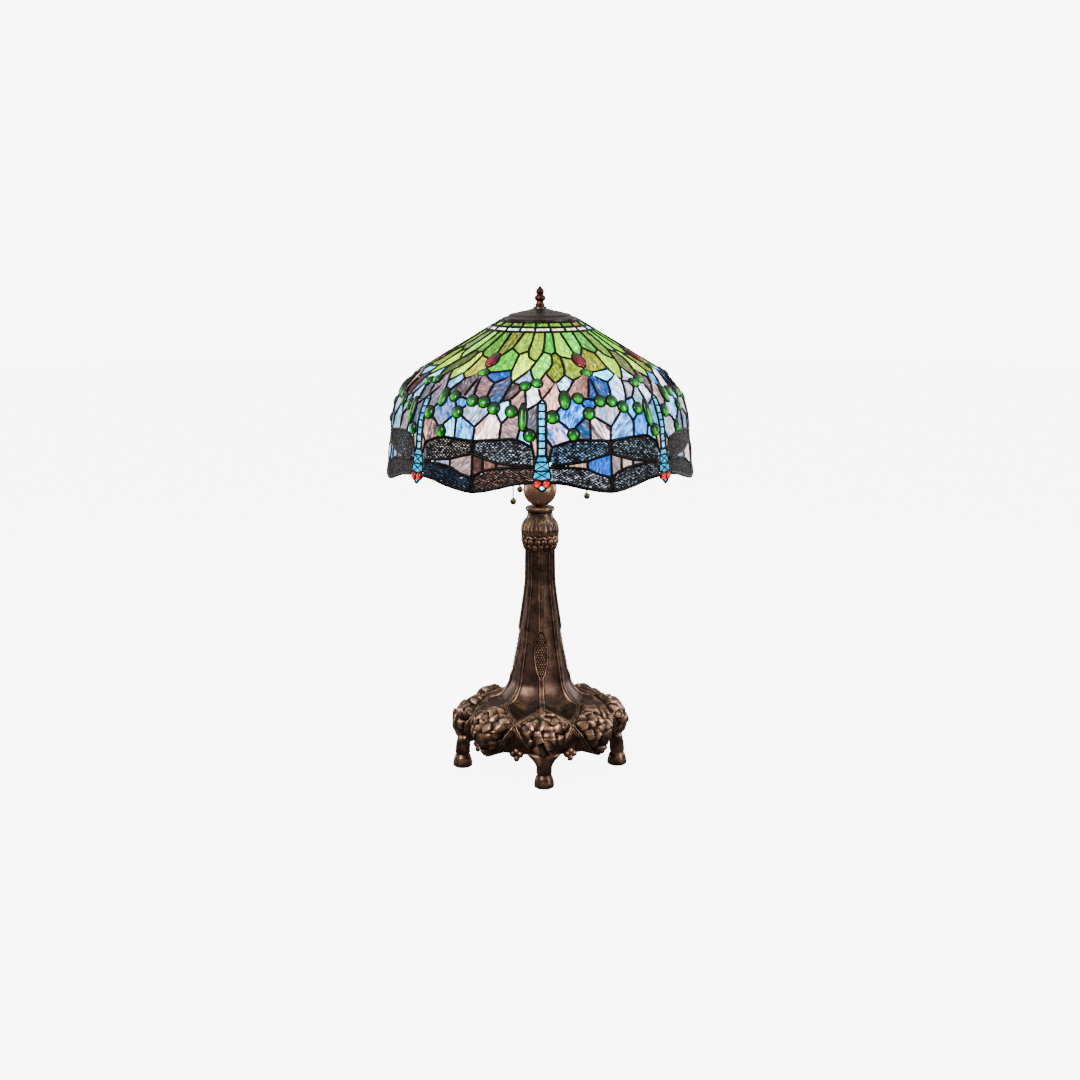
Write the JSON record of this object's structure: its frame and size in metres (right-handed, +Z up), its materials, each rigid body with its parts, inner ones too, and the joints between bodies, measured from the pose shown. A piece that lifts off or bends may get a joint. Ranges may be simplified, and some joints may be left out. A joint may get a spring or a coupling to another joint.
{
  "type": "table lamp",
  "caption": "Table lamp with a domed stained glass dragonfly shade on a fluted bronze stem and a lobed foot, with pull chains and a finial on a vented cap.",
  "frame": {"origin": "centre of the base on the floor, on the axis of the stem", "axes": "+Z up along the stem, -Y towards the front foot, +X to the right seen from the front"},
  "size_m": [0.5131, 0.5167, 0.822],
  "materials": {
    "bronze": "satin",
    "dark_bronze": "satin",
    "brass": "satin",
    "aged_brass": "satin",
    "felt": "matte",
    "black_plastic": "matte",
    "liner_card": "matte",
    "bulb_metal": "satin",
    "bulb_glass": "gloss",
    "filament": "satin",
    "crown_glass": "gloss",
    "band_glass": "gloss",
    "leaf_glass": "gloss",
    "mosaic_glass": "gloss",
    "wing_glass": "gloss",
    "body_glass": "gloss",
    "ruby": "gloss",
    "emerald": "gloss",
    "eye_red": "gloss",
    "solder": "satin",
    "filigree": "satin"
  },
  "bodies": {
    "lamp": {"foot_pads": "felt", "base_casting": "bronze", "base_lobes": "bronze", "base_legs": "bronze", "base_drops": "bronze", "cord_bushing": "black_plastic", "bottom_washer": "brass", "bottom_nut": "brass", "center_rod": "brass", "stem_casting": "bronze", "stem_capital": "bronze", "neck_ring": "bronze", "neck_ball": "bronze", "cluster_body": "dark_bronze", "socket_arms": "brass", "socket_caps": "brass", "socket_shells": "brass", "socket_liners": "liner_card", "socket_cores": "black_plastic", "chain_guides": "brass", "bulb_bases": "bulb_metal", "bulb_glass": "bulb_glass", "bulb_filaments": "filament", "riser_pipe": "brass", "support_nut": "brass", "shade_support": "brass"},
    "shade": {"shade_top_ring": "brass", "crown_glass": "crown_glass", "band_glass": "band_glass", "upper_leaf_glass": "leaf_glass", "lower_leaf_glass": "leaf_glass", "upper_mosaic_glass": "mosaic_glass", "lower_mosaic_glass": "mosaic_glass", "spandrel_glass": "mosaic_glass", "upper_wing_glass": "wing_glass", "lower_wing_glass": "wing_glass", "tail_glass": "body_glass", "thorax_glass": "body_glass", "crown_lead": "solder", "leaf_lead": "solder", "mosaic_lead": "solder", "wing_lead": "solder", "body_lead": "solder", "jewel_rings": "solder", "ruby_jewels": "ruby", "round_jewels": "emerald", "oval_jewels": "emerald", "eye_jewels": "eye_red", "wing_filigree": "filigree", "rim_wire": "solder"},
    "cap": {"heat_cap": "dark_bronze"},
    "finial": {"finial": "dark_bronze"},
    "chain_1": {"pull_chain_1": "brass", "chain_ball_1": "aged_brass"},
    "chain_2": {"pull_chain_2": "brass", "chain_ball_2": "aged_brass"},
    "chain_3": {"pull_chain_3": "brass", "chain_ball_3": "aged_brass"}
  },
  "joints": [
    {"name": "chain_pull_1", "type": "slide", "parent": "lamp", "child": "chain_1", "axis": [0, 0, -1], "range_m": [0, 0.015], "stiffness_N_per_m": 60},
    {"name": "chain_pull_2", "type": "slide", "parent": "lamp", "child": "chain_2", "axis": [0, 0, -1], "range_m": [0, 0.015], "stiffness_N_per_m": 60},
    {"name": "chain_pull_3", "type": "slide", "parent": "lamp", "child": "chain_3", "axis": [0, 0, -1], "range_m": [0, 0.015], "stiffness_N_per_m": 60},
    {"name": "finial_lift", "type": "slide", "parent": "cap", "child": "finial", "axis": [0, 0, 1], "range_m": [0, 0.08]},
    {"name": "cap_lift", "type": "slide", "parent": "shade", "child": "cap", "axis": [0, 0, 1], "range_m": [0, 0.06]},
    {"name": "shade_lift", "type": "slide", "parent": "lamp", "child": "shade", "axis": [0, 0, 1], "range_m": [0, 0.33]}
  ]
}
